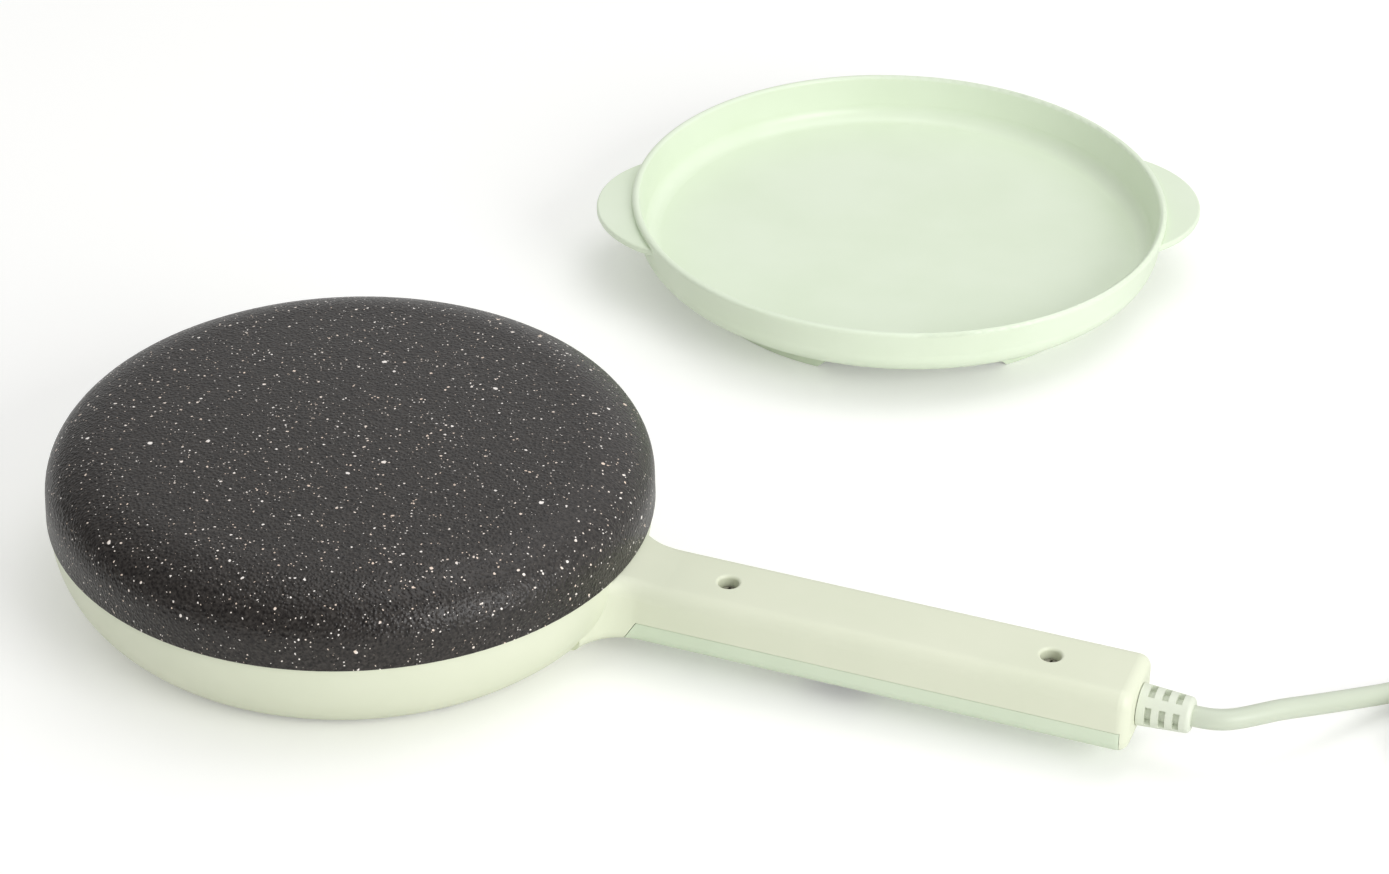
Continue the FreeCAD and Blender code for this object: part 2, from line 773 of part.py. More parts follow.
def make_heater_element():
    """One sheathed tube: up, round the pad and down again."""
    turn = math.radians(element_gap_angle / 2)
    drop = pin_length - element_bend
    edges = []
    for side in (1, -1):
        out = Vector(element_radius * math.cos(turn), side * element_radius * math.sin(turn),
                     land_bottom)
        along = Vector(math.sin(turn), -side * math.cos(turn), 0)
        centre = out - UP * element_bend
        middle = centre + (along + UP).normalize() * element_bend
        low = centre + along * element_bend
        edges.append((out, middle, low, low - UP * drop))
    (start, start_middle, start_low, start_tip), (end, end_middle, end_low, end_tip) = edges
    opposite = Vector(-element_radius, 0, land_bottom)
    path = [
        line(start_tip, start_low), arc(start_low, start_middle, start),
        arc(start, Vector(0, element_radius, land_bottom), opposite),
        arc(opposite, Vector(0, -element_radius, land_bottom), end),
        arc(end, end_middle, end_low), line(end_low, end_tip),
    ]
    save("heater_element", swept(path, start_tip, UP, element_diameter))


def make_element_terminals():
    top = land_bottom - pin_length
    terminals = []
    for x, y in element_ends():
        bead = post(x, y, stud_top, top, element_diameter - 2 * bead_inset)
        stud = post(x, y, stud_top - terminal_length, stud_top, terminal_diameter)
        terminals.append(bead.fuse(stud).removeSplitter())
    save("element_terminals", Part.makeCompound(terminals))


def make_thermostat():
    cap_low = pad_bottom - thermostat_cap_height
    cap = post(0, 0, cap_low, pad_bottom, thermostat_diameter)
    case = post(0, 0, thermostat_low, cap_low, thermostat_diameter - 2 * thermostat_case_inset)
    tabs = []
    half = thermostat_tab_width / 2
    low = thermostat_low + thermostat_tab_rise
    for side in (-1, 1):
        inner, outer = sorted((side * thermostat_diameter / 4, side * thermostat_tab_reach))
        tabs.append(box(inner, outer, -half, half, low, low + tab_thickness))
    save("thermostat", fuse(cap, case, *tabs))


def make_thermostat_bracket():
    """Spring strip that holds the thermostat's cap against the plate."""
    low = pad_bottom - thermostat_cap_height - strip_thickness
    half = strip_width / 2
    inner = strip_spread - strip_foot
    outer = strip_spread + strip_foot / 2
    strip = box(-strip_middle / 2, strip_middle / 2, -inner, inner, low, low + strip_thickness)
    for side in (-1, 1):
        leg_low, leg_high = sorted((side * inner, side * (inner + strip_thickness)))
        foot_low, foot_high = sorted((side * inner, side * outer))
        strip = fuse(strip, box(-half, half, leg_low, leg_high, low, boss_bottom),
                     box(-half, half, foot_low, foot_high, boss_bottom - strip_thickness,
                         boss_bottom))
    case = thermostat_diameter - 2 * thermostat_case_inset + screw_clearance
    holes = [post(0, 0, low - 1, low + strip_thickness + 1, case)]
    holes += [post(x, y, boss_bottom - 2 * strip_thickness, boss_bottom + 1,
                   fixing_diameter + screw_clearance) for x, y in bracket_screws]
    save("thermostat_bracket", cut(strip, *holes))


def fixing(x, y, under):
    """Small screw whose head bears on a sheet of a thickness under the plate's boss."""
    return screw(x, y, boss_bottom - under, boss_bottom + fixing_reach, fixing_diameter,
                 fixing_head, fixing_head_height)


def make_thermostat_screws():
    screws = [fixing(x, y, strip_thickness) for x, y in bracket_screws]
    save("thermostat_screws", Part.makeCompound(screws))


def make_thermal_fuse():
    x, y = fuse_place
    case = Part.makeCylinder(fuse_diameter / 2, fuse_length,
                             Vector(x - fuse_length / 2, y, fuse_height), ALONG)
    lead = Part.makeCylinder(fuse_lead_diameter / 2, fuse_lead_length,
                             Vector(x - fuse_lead_length / 2, y, fuse_height), ALONG)
    save("thermal_fuse", fuse(case, lead))


def make_fuse_clip():
    """Bent strip under the fuse, held by a screw beside it."""
    x, y = fuse_place
    x0 = x - clip_width / 2
    x1 = x + clip_width / 2
    top = fuse_height - fuse_diameter / 2 - fuse_clearance
    low = top - clip_thickness
    inner = fuse_diameter / 2 + clip_side_clearance
    outer = inner + clip_thickness
    strap = box(x0, x1, y - outer, y + outer, low, top)
    rise = box(x0, x1, y + inner, y + outer, low, boss_bottom)
    cheek = box(x0, x1, y - outer, y - inner, low, fuse_height)
    arm = box(x0, x1, y + inner, clip_screw[1] + boss_diameter / 2, boss_bottom - clip_thickness,
              boss_bottom)
    hole = post(clip_screw[0], clip_screw[1], boss_bottom - 2 * clip_thickness, boss_bottom + 1,
                fixing_diameter + screw_clearance)
    save("fuse_clip", cut(fuse(strap, rise, cheek, arm), hole))


def make_earth_tag():
    x, y = earth_place
    low = boss_bottom - earth_tag_thickness
    half = earth_tab_width / 2
    ring = post(x, y, low, boss_bottom, earth_ring)
    tab = box(x, x + earth_tab_reach, y - half, y + half, low, boss_bottom)
    hole = post(x, y, low - 1, boss_bottom + 1, fixing_diameter + screw_clearance)
    save("earth_tag", cut(fuse(ring, tab), hole))
    screws = [fixing(*earth_place, earth_tag_thickness), fixing(*clip_screw, clip_thickness)]
    save("tag_screws", Part.makeCompound(screws))


def make_switch():
    x = switch_place
    bezel = box(x - bezel_length / 2, x + bezel_length / 2, -bezel_width / 2, bezel_width / 2,
                handle_bottom - bezel_thickness, handle_bottom)
    corners = [edge for edge in bezel.Edges if abs(edge.BoundBox.ZLength - bezel_thickness) < 0.01]
    bezel = bezel.makeFillet(bezel_round, corners)
    case = box(x - switch_length / 2, x + switch_length / 2, -switch_width / 2, switch_width / 2,
               handle_bottom, switch_top)
    well_x = rocker_length / 2 + 2 * rocker_clearance
    well_y = rocker_width / 2 + rocker_clearance
    well = box(x - well_x, x + well_x, -well_y, well_y, 0, rocker_pivot_height + well_depth)
    reach = rocker_pin_reach + 2 * rocker_pin_clearance
    bearing = Part.makeCylinder(rocker_pin_diameter / 2 + rocker_pin_clearance, reach,
                                Vector(x, -reach / 2, rocker_pivot_height), ACROSS)
    save("switch_body", cut(fuse(bezel, case), well, bearing))
    half = tab_thickness / 2
    tabs = [box(x + place - half, x + place + half, -tab_width / 2, tab_width / 2, switch_top,
                switch_top + tab_height) for place in (-tab_spread, tab_spread)]
    save("switch_terminals", Part.makeCompound(tabs))


def make_switch_rocker():
    """Rocker in its off position, tilted about the pin along Y."""
    half = rocker_length / 2
    pivot = Vector(switch_place, 0, rocker_pivot_height)
    outline = [Vector(-half, 0, rocker_top), Vector(-half, 0, -rocker_edge),
               Vector(0, 0, -rocker_middle), Vector(half, 0, -rocker_edge),
               Vector(half, 0, rocker_top)]
    outline = [pivot + point for point in outline]
    face = Part.Face(Part.makePolygon(outline + [outline[0]]))
    face.translate(ACROSS * (-rocker_width / 2))
    pin = Part.makeCylinder(rocker_pin_diameter / 2, rocker_pin_reach,
                            pivot - ACROSS * (rocker_pin_reach / 2), ACROSS)
    rocker = fuse(face.extrude(ACROSS * rocker_width), pin)
    rocker.rotate(pivot, ACROSS, -rocker_tilt)
    save("switch_rocker", rocker)


def make_pilot_lamp():
    x = lamp_place
    lens_low = handle_bottom - lens_stand
    barrel = post(x, 0, lens_low, cover_floor, lens_diameter)
    rim = [edge for edge in barrel.Edges if edge.BoundBox.ZMax < lens_low + 0.01]
    barrel = barrel.makeFillet(lens_round, rim)
    flange_top = cover_floor + lens_flange_thickness
    flange = post(x, 0, cover_floor, flange_top, lens_diameter + 2 * lens_flange)
    save("lamp_lens", fuse(barrel, flange))
    bulb = post(x, 0, flange_top, flange_top + bulb_length, bulb_diameter)
    top = [edge for edge in bulb.Edges if edge.BoundBox.ZMin > flange_top + bulb_length - 0.01]
    save("pilot_lamp", bulb.makeFillet(bulb_round, top))


def relief_ring(start, length, diameter, end_diameter=None):
    """Cylinder or cone about the cord's axis."""
    place = Vector(start, 0, cord_height)
    if end_diameter is None:
        return Part.makeCylinder(diameter / 2, length, place, ALONG)
    return Part.makeCone(diameter / 2, end_diameter / 2, length, place, ALONG)


def make_strain_relief():
    start = handle_end + relief_gap
    sleeve = relief_ring(start, relief_end - start, relief_root_diameter, relief_tip_diameter)
    tip = [edge for edge in sleeve.Edges if edge.BoundBox.XMin > relief_end - 0.01]
    sleeve = sleeve.makeFillet(relief_tip_round, tip)
    collar_end = cavity_end - relief_gap
    neck = relief_ring(collar_end - 1, start - collar_end + 2, neck_diameter)
    collar = relief_ring(collar_end - relief_collar_length, relief_collar_length,
                         relief_collar_diameter)
    relief = fuse(sleeve, neck, collar)
    bore = relief_ring(jacket_end, 2 * relief_reach + jacket_length,
                       cord_diameter + 2 * bore_clearance)
    taper = (relief_tip_diameter - relief_root_diameter) / relief_reach
    reach = relief_root_diameter
    half = reach * math.tan(math.radians(relief_slot_angle / 2))
    slots = []
    for column in range(relief_slot_columns):
        along = relief_slot_first + column * relief_slot_pitch - relief_slot_width / 2
        place = handle_end + along
        floor = relief_root_diameter + taper * along - 2 * relief_slot_depth
        band = cut(relief_ring(place, relief_slot_width, 2 * relief_root_diameter),
                   relief_ring(place - 1, relief_slot_width + 2, floor))
        axis = Vector(place, 0, cord_height)
        for row in range(relief_slot_rows):
            outline = [axis, axis + Vector(0, -half, reach), axis + Vector(0, half, reach), axis]
            wedge = Part.Face(Part.makePolygon(outline)).extrude(ALONG * relief_slot_width)
            wedge.rotate(axis, ALONG, 360 / relief_slot_rows * row)
            slots.append(band.common(wedge))
    save("strain_relief", cut(relief, bore, *slots))


def make_cord_inner():
    save("cord_inner", Part.makeCylinder(cord_diameter / 2, relief_end - jacket_end,
                                         Vector(jacket_end, 0, cord_height), ALONG))


def make_cord_clamp():
    low = clamp_top - clamp_thickness
    bar = box(clamp_place - clamp_length / 2, clamp_place + clamp_length / 2,
              -clamp_width / 2, clamp_width / 2, low, clamp_top)
    corners = [edge for edge in bar.Edges if abs(edge.BoundBox.ZLength - clamp_thickness) < 0.01]
    bar = bar.makeFillet(clamp_round, corners)
    places = [(clamp_place, side * clamp_spread) for side in (-1, 1)]
    holes = [post(x, y, low - 1, clamp_top + 1, fixing_diameter + screw_clearance)
             for x, y in places]
    save("cord_clamp", cut(bar, *holes))
    screws = [screw(x, y, low, clamp_top + clamp_screw_reach, fixing_diameter, fixing_head,
                    clamp_head_height) for x, y in places]
    save("clamp_screws", Part.makeCompound(screws))


def stop_before(target, previous, distance):
    """The place on the way from previous to target that is still distance away."""
    target = Vector(*target)
    return tuple(target + (Vector(*previous) - target).normalize() * distance)


def make_wires():
    """Insulated single wires, from the cord's jacket to what each one feeds."""
    def in_handle(x, y, z):
        """Place counted from the side of the body and down from the handle's flat top."""
        return (body_radius + x, y, handle_top - z)

    def in_pan(x, y, z):
        """Place counted down from the plate's underside."""
        return (x, y, dome_low - z)

    def at_cord(x, y, z):
        """Place counted back from the end of the cord's jacket and up from its middle."""
        return (jacket_end - x, y, cord_height + z)

    tab_z = switch_top + tab_height * 0.6
    tab_reach = tab_spread + tab_thickness / 2 + wire_gap
    lug_z = thermostat_low + thermostat_tab_rise + tab_thickness / 2
    lug_reach = thermostat_tab_reach + wire_gap
    stud_z = stud_top - terminal_length / 2
    stud_reach = terminal_diameter / 2 + wire_gap
    lead_reach = fuse_lead_length / 2 + wire_gap
    end_a, end_b = element_ends()
    by_stud_a = (end_a[0] - stud_turn, end_a[1] - stud_side, stud_z)
    by_stud_b = (end_b[0] - stud_turn, end_b[1] + stud_side, stud_z)
    fuse_x, fuse_y = fuse_place
    earth_x, earth_y = earth_place
    lane = wire_lane
    routes = {
        "live_wire": [
            at_cord(0, 1.6, 1), at_cord(2.15, 1.6, 1), at_cord(3.2, 6.2, 1.2), at_cord(9.2, lane, 2),
            (body_radius + 126.8, lane, tab_z - 1), (body_radius + 105.8, lane, tab_z),
            (body_radius + 93.8, 4, tab_z), (body_radius + 84.8, 0, tab_z),
            (switch_place + tab_reach, 0, tab_z)],
        "switched_wire": [
            (switch_place - tab_reach, 0, tab_z), (body_radius + 59.8, 0, tab_z),
            (body_radius + 51.8, 5, tab_z), (body_radius + 40.8, lane, tab_z),
            in_handle(22.8, lane, 6.7), in_handle(8.8, 5, 7.2), in_handle(-5.2, 1, 9.2),
            in_handle(-14.7, 0.4, 8.7), in_handle(-21.2, 0, 2.7), in_pan(74, 1, 19.9),
            in_pan(50, 1, 16.9), (30, 0.5, lug_z), (lug_reach, 0, lug_z)],
        "neutral_wire": [
            at_cord(0, -1.6, 1), at_cord(2.15, -1.6, 1), at_cord(3.2, -6.2, 1.2),
            at_cord(9.2, -lane, 1.2), in_handle(124.8, -lane, 9.9), in_handle(90.8, -lane, 10.9),
            in_handle(40.8, -lane, 9.7), in_handle(18.8, -7.6, 9.2), in_handle(4.8, -6.5, 10.7),
            in_handle(-9.2, -5, 10.7), in_handle(-19.2, -4.6, 4.7), in_pan(73, -6, 19.9),
            in_pan(58, -9, 12.9), in_pan(46, -22, 7.9), (fuse_x + 14, fuse_y, fuse_height),
            (fuse_x + lead_reach, fuse_y, fuse_height)],
        "earth_wire": [
            at_cord(0, 0, -1.8), at_cord(1.9, 0, -1.8), at_cord(2.9, 5.6, -2.3),
            at_cord(8.7, lane, -3.8), in_handle(126.8, lane, 15.5), in_handle(90.8, lane, 16.5),
            in_handle(40.8, lane, 16.5), in_handle(24.8, 7.4, 14.3), in_handle(12.8, 5, 11.9),
            in_handle(-3.2, 4.4, 11.9), in_handle(-15.2, 4.4, 11.1), in_handle(-19.7, 4.6, 3.7),
            in_pan(71, 6.5, 17.9), in_pan(60, 7.5, 12.9), in_pan(53.5, 11, 8.9),
            (earth_x + 11, earth_y, earth_wire_height), (earth_x + 6, earth_y, earth_wire_height)],
        "thermostat_lead": [
            (-lug_reach, 0, lug_z), (-18, 0, lug_z), (-24, 6, lug_z), in_pan(-18, 24, 11.9),
            in_pan(8, 34, 13.9), in_pan(34, 30, 16.9), by_stud_b,
            stop_before((*end_b, stud_z), by_stud_b, stud_reach)],
        "fuse_lead": [
            (fuse_x - lead_reach, fuse_y, fuse_height), (fuse_x - 15, fuse_y - 3, fuse_height - 2),
            (fuse_x - 8, fuse_y - 12, fuse_height - 5.5), (fuse_x + 10, fuse_y - 9, fuse_height - 10.5),
            by_stud_a, stop_before((*end_a, stud_z), by_stud_a, stud_reach)],
    }
    for name, points in routes.items():
        save(name, tube([Vector(*point) for point in points], wire_diameter, name))


def coil_point(turns, centre, start_angle):
    """Place on the coil after so many turns: inwards, up one layer, outwards again."""
    inward = min(turns, coil_turns - turns)
    radius = coil_outer - coil_pitch * inward
    angle = math.radians(start_angle - 360 * turns)
    climb = min(max((turns - (coil_turns / 2 - 0.25)) / 0.5, 0), 1)
    height = coil_layer * climb * climb * (3 - 2 * climb)
    return centre + Vector(radius * math.cos(angle), radius * math.sin(angle), height)


def one_arc(start, heading, end):
    """Arc that leaves start along heading and reaches end."""
    chord = end - start
    sweep = heading.getAngle(chord)
    across = Vector(chord).normalize()
    toward = (heading - across * heading.dot(across)).normalize()
    middle = start + chord * 0.5 + toward * (chord.Length / 2 * math.tan(sweep / 2))
    return arc(start, middle, end)


def biarc(start, heading, end, arrival):
    """Two arcs that join two places smoothly, with equal arms."""
    span = end - start
    along = span.dot(heading + arrival)
    factor = 2 * (1 - heading.dot(arrival))
    arm = (math.sqrt(along**2 + factor * span.dot(span)) - along) / factor
    first = start + heading * arm
    last = end - arrival * arm
    joint = (first + last) * 0.5
    return [one_arc(start, heading, joint), one_arc(joint, (last - first).normalize(), end)]


def make_power_cord():
    points = [Vector(relief_end + x, y, z) for x, y, z in cord_route]
    save("power_cord", tube(points, cord_diameter, "power_cord"))
    start = points[-1]
    heading = (points[-1] - points[-2]).normalize()
    lead_end = start + heading * cord_diameter
    spoke = heading.cross(UP) * -coil_outer
    centre = lead_end - spoke
    start_angle = math.degrees(math.atan2(spoke.y, spoke.x))
    print("coil centre", [round(value, 1) for value in centre])
    quarter = 0.25
    step = 0.02
    nodes = []
    headings = []
    for index in range(round(coil_turns / quarter) + 1):
        turns = index * quarter
        nodes.append(coil_point(turns, centre, start_angle))
        before = coil_point(turns - step, centre, start_angle)
        after = coil_point(turns + step, centre, start_angle)
        headings.append((after - before).normalize())
    headings[0] = heading
    edges = [line(start, lead_end)]
    for index in range(len(nodes) - 1):
        edges += biarc(nodes[index], headings[index], nodes[index + 1], headings[index + 1])
    tail = nodes[-1] + headings[-1] * coil_tail
    edges.append(line(nodes[-1], tail))
    coil = swept(edges, start, heading, cord_diameter)
    length = sum(edge.Length for edge in edges)
    print("coil length", round(length, 1), "volume ratio",
          round(coil.Volume / (math.pi * cord_diameter**2 / 4 * length), 4))
    samples = []
    for edge in edges:
        samples += edge.discretize(max(3, int(edge.Length / 4)))
    apart = 40
    least = min((samples[a] - samples[b]).Length
                for a in range(len(samples)) for b in range(a + apart, len(samples)))
    print("least gap of the coil to itself", round(least - cord_diameter, 2))
    save("power_cord_coil", coil)
    return tail, headings[-1]


def make_plug(tail, heading):
    """Moulded earthed plug that lies on the table at the end of the coil."""
    front = plug_nose + plug_length
    body = box(plug_nose, front, -plug_width / 2, plug_width / 2, -plug_height / 2, plug_height / 2)
    body = body.makeFillet(plug_round, body.Edges)
    nose = Part.makeCone(cord_diameter / 2 + nose_wall, nose_root_radius, plug_nose + plug_overlap,
                         ORIGIN, ALONG)
    plug = fuse(body, nose)
    blade = Part.makeBox(pin_reach + pin_seat, pin_thickness, pin_width,
                         Vector(front - pin_seat, -pin_thickness / 2, -pin_width / 2))
    pins = []
    for side in (-1, 1):
        pin = blade.copy()
        pin.rotate(Vector(front, 0, 0), ALONG, side * pin_slant)
        pin.translate(Vector(0, side * pin_spread, pin_rise))
        pins.append(pin)
    pins.append(Part.makeBox(pin_reach + pin_seat + earth_pin_extra, pin_thickness, pin_width,
                             Vector(front - pin_seat, -pin_thickness / 2,
                                    -earth_pin_drop - pin_width / 2)))
    turn = math.degrees(math.atan2(heading.y, heading.x))
    for shape in [plug] + pins:
        shape.rotate(ORIGIN, UP, turn)
        shape.translate(Vector(tail.x, tail.y, plug_height / 2))
    print("cord height at plug", round(tail.z, 2), "plug axis", plug_height / 2)
    save("plug_body", cut(plug, *pins))
    save("plug_pins", Part.makeCompound(pins))


def dish_profile(inset):
    """Closed outline of the dish's outer or inner form."""
    rim = dish_rim_radius - inset
    low = rim - dish_draft
    corner = dish_corner - inset
    floor = dish_floor + (dish_floor_thickness if inset else 0)
    centre = Vector(low - corner, 0, floor + corner)
    top = dish_height + (1 if inset else 0)
    return [
        line(Vector(0, 0, top), Vector(rim, 0, top)),
        line(Vector(rim, 0, top), on_arc(centre, corner, 0)),
        arc_between(centre, corner, 0, -90),
        line(on_arc(centre, corner, -90), Vector(0, 0, floor)),
        line(Vector(0, 0, floor), Vector(0, 0, top)),
    ]


def dish_ears():
    """Flat ring with the two rounded ears, blended into each other."""
    low = ear_top - ear_thickness
    ears = post(0, 0, low, ear_top, 2 * dish_rim_radius - dish_wall)
    for side in (-1, 1):
        ears = ears.fuse(post(side * ear_centre, 0, low, ear_top, 2 * ear_radius))
    ears = ears.removeSplitter()
    joints = [edge for edge in ears.Edges
              if edge.BoundBox.ZLength > ear_thickness - 0.01 and edge.BoundBox.XLength < 0.01]
    ears = ears.makeFillet(ear_root_round, joints)
    return ears.makeFillet(ear_round, [edge for edge in ears.Edges if edge.BoundBox.ZLength < 0.01])


def dish_foot():
    """Ring under the floor, open to two sides."""
    foot = cut(post(0, 0, 0, dish_floor + dish_floor_thickness / 2, 2 * dish_foot_radius),
               post(0, 0, -1, dish_floor + dish_floor_thickness,
                    2 * (dish_foot_radius - dish_foot_wall)))
    half = dish_foot_radius * math.sin(math.radians(dish_foot_gap / 2))
    knee = dish_floor * foot_gap_slope
    low = half + knee
    outline = [Vector(-low, 0, 0), Vector(low, 0, 0), Vector(half, 0, knee),
               Vector(half, 0, dish_floor), Vector(-half, 0, dish_floor), Vector(-half, 0, knee)]
    gap = Part.Face(Part.makePolygon(outline + [outline[0]]))
    reach = ACROSS * (2 * dish_foot_radius)
    return cut(foot, gap.extrude(reach), gap.extrude(-reach))


def make_batter_dish():
    outer = turned(dish_profile(0))
    inner = turned(dish_profile(dish_wall))
    dish = cut(fuse(outer, dish_ears(), dish_foot()), inner)
    rims = [edge for edge in dish.Edges if edge.BoundBox.ZMin > dish_height - 0.01]
    dish = dish.makeFillet(dish_wall / 2 - dish_lip_clearance, rims)
    dish.rotate(ORIGIN, UP, dish_ear_axis)
    dish.translate(Vector(dish_x, dish_y, 0))
    save("batter_dish", dish)


def main():
    block = handle_block()
    make_body_shell(block)
    make_handle_cover(block)
    make_heating_plate()
    make_rim_gasket()
    make_base_feet()
    make_plate_screws()
    make_handle_screws()
    make_heat_shield()
    make_heater_element()
    make_element_terminals()
    make_thermostat()
    make_thermostat_bracket()
    make_thermostat_screws()
    make_thermal_fuse()
    make_fuse_clip()
    make_earth_tag()
    make_switch()
    make_switch_rocker()
    make_pilot_lamp()
    make_strain_relief()
    make_cord_inner()
    make_cord_clamp()
    make_wires()
    tail, heading = make_power_cord()
    make_plug(tail, heading)
    make_batter_dish()


main()
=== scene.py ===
"""Finishes, cord, camera and light of a dip-type electric crepe maker with its batter dish.

Lengths are in metres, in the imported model's own frame.
"""
import math

import bpy
import bmesh
from mathutils import Matrix, Vector


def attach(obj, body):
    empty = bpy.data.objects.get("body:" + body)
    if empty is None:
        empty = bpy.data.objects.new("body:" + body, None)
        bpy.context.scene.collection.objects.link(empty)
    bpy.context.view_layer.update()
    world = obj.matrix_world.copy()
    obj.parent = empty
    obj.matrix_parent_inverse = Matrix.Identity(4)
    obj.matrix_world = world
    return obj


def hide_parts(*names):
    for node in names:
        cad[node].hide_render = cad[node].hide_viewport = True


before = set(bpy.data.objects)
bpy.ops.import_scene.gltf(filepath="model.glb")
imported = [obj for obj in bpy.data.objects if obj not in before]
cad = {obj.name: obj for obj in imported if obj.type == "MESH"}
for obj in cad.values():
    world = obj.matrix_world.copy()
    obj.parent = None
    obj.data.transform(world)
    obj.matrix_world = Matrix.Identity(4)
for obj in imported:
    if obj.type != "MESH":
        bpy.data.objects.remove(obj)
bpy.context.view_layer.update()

MM = 0.001
WHITE = (1, 1, 1, 1)
BLACK = (0, 0, 0, 1)

# the camera stands where the photograph was taken from
CAMERA_PLACE = (0.47071, -0.94980, 0.73316)
CAMERA_AZIMUTH = 20.269     # degrees, as the two below
CAMERA_ELEVATION = 32.711
CAMERA_ROLL = 0.821
CAMERA_LENS = 99.46         # focal length in mm, with a sensor this wide
SENSOR_WIDTH = 36.0
CAMERA_NEAR = 0.05
CAMERA_FAR = 30.0

# the mains cord, from the end of the strain relief to the coil
CORD_DIAMETER = 6.8 * MM
CORD_ROUTE = [
    (0.2860, 0.0000, 0.0198),
    (0.2900, 0.0000, 0.0198),
    (0.2946, 0.0011, 0.0198),
    (0.2990, 0.0036, 0.0197),
    (0.3040, 0.0082, 0.0194),
    (0.3100, 0.0150, 0.0184),
    (0.3167, 0.0228, 0.0162),
    (0.3234, 0.0323, 0.0130),
    (0.3304, 0.0428, 0.0094),
    (0.3379, 0.0531, 0.0062),
    (0.3462, 0.0640, 0.0042),
    (0.3549, 0.0730, 0.0034),
    (0.3654, 0.0793, 0.0034),
    (0.3769, 0.0826, 0.0034),
]
CORD_ROUNDNESS = 7          # bevel resolution of its tube
CORD_STEPS = 6              # steps between two points of its line

# its put-away length
COIL_RADIUS = 44.8 * MM
COIL_PITCH = 7.35 * MM      # between turns that lie side by side
COIL_LAYER = 7.3 * MM       # between the lower turns and the upper ones
COIL_TURNS = 4.25
COIL_CLIMB = 0.5            # share of a turn in which it climbs to the upper layer
COIL_POINTS = 18            # points of the line in one turn
COIL_TAIL = 30.0 * MM       # straight end that enters the plug
TAIL_POINTS = 4

# the rocker at rest
ROCKER_PIVOT = (171.0 * MM, 0.0, 9.2 * MM)
ROCKER_TILT = 9.0           # degrees
ROCKER_HALF = 7.2 * MM      # half its length
ROCKER_EDGE = 0.9 * MM      # from the pivot down to its two faces at the ends
ROCKER_MIDDLE = 2.3 * MM    # and where they meet

# the raised marks on it
MARK_PLACE = 0.58           # share of the half length at which they sit
BAR_SIZE = (0.5 * MM, 3.0 * MM, 0.3 * MM)
BAR_ROUNDING = 0.08 * MM
RING_RADII = (1.15 * MM, 1.65 * MM)
RING_SUNK = 0.15 * MM       # into the rocker
RING_PROUD = 0.1 * MM
RING_STEPS = 32

# nearly all values of a noise pattern lie between these
NOISE_SPAN = (0.3, 0.7)

# noise patterns of the plate's coating: distance between lumps in mm, and detail
COATING_NOISES = (
    (1.3, 2),               # outlines of the specks
    (4.5, 1),               # warmth of their colour
    (1.1, 3),               # mottle of the charcoal
    (0.55, 2),              # fine grain between the pebbles
)
SPECK_SHAKE = 1.1 * MM      # how far the first one moves an outline
SPECK_SIZES = (             # cell, radius, soft edge, spread of radius in mm, share of cells
    (1.5, 0.23, 0.12, 0.12, 0.80),
    (2.8, 0.38, 0.15, 0.18, 0.75),
    (8.0, 0.68, 0.20, 0.25, 0.60),
)
PEBBLE_APART = 1.05 * MM
PEBBLE_REACH = 0.75         # share of that distance at which a pebble has sloped away
PEBBLE_SOFTNESS = 0.6
PEBBLE_DEPTH = 0.2 * MM
COATING_GRAIN_DEPTH = 0.03 * MM

# floor and light
FLOOR_HALF = 4.0
FLOOR_DROP = 0.2 * MM       # keeps the floor just clear of the feet
FLOOR_LIFT = 0.18           # seen by the camera alone, so that the lit floor shows white
DOME_STRENGTH = 0.62
BRIGHT_SIDE = (0.55, 0.8, 0.2)      # where reflections see the bright wall
ROOM_SPAN = (-0.4, 0.9)             # from facing away from it to facing it
ROOM_STRENGTHS = (0.12, 0.95)
LIGHT_AIM = (0.1, 0.1, 0.02)
SOFTBOXES = (                       # name, place, width in m, power in W
    ("overhead_softbox", (0.35, 0.45, 1.6), 1.1, 6.0),
    ("key_softbox", (1.58, -0.64, 0.78), 1.0, 16.5),
)


def linear(code):
    """Scene-linear colour of an sRGB hex code."""
    values = []
    for place in (1, 3, 5):
        part = int(code[place:place + 2], 16) / 255
        values.append(part / 12.92 if part <= 0.04045 else ((part + 0.055) / 1.055) ** 2.4)
    return (*values, 1.0)


def add(tree, kind, values=None, links=None, **settings):
    """Add one shader node with its settings, socket values and incoming links."""
    made = tree.nodes.new(kind)
    for name, value in settings.items():
        setattr(made, name, value)
    for socket, value in (values or {}).items():
        made.inputs[socket].default_value = value
    for socket, source in (links or {}).items():
        tree.links.new(source, made.inputs[socket])
    return made


def new_material(name, shader_values):
    """A material with one principled shader; returns it, its tree, the shader and the place."""
    material = bpy.data.materials.new(name)
    material.use_nodes = True
    tree = material.node_tree
    tree.nodes.clear()
    shader = add(tree, "ShaderNodeBsdfPrincipled", shader_values)
    add(tree, "ShaderNodeOutputMaterial", links={"Surface": shader.outputs[0]})
    place = add(tree, "ShaderNodeTexCoord").outputs["Object"]
    return material, tree, shader, place


